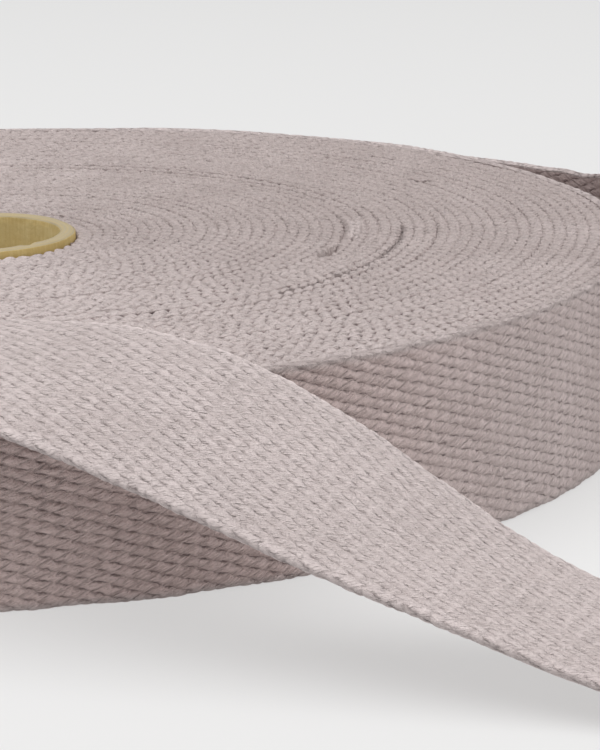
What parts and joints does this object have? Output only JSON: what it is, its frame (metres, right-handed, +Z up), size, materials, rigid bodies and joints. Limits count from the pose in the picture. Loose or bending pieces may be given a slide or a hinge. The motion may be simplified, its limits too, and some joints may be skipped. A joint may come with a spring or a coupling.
{
  "type": "roll of cotton webbing",
  "caption": "Heavy woven cotton tape wound flat on a cardboard core, its loose end led over the top of the roll and down onto the surface.",
  "frame": {"origin": "on the surface that the roll stands on, under the middle of the whole object's box, loose end included", "axes": "+Z up, along the core; +Y away from the viewer, from the loose end's cut tip towards the back of the roll; +X towards the side to which the loose end runs out"},
  "size_m": [0.367, 0.416, 0.0666],
  "materials": {
    "webbing": "matt coarse warp-faced cotton weave, dusty pink-taupe",
    "core_card": "plain spiral-wound kraft card"
  },
  "bodies": {
    "root": {"webbing_roll": "webbing", "loose_end": "webbing", "core_tube": "core_card"}
  },
  "joints": []
}
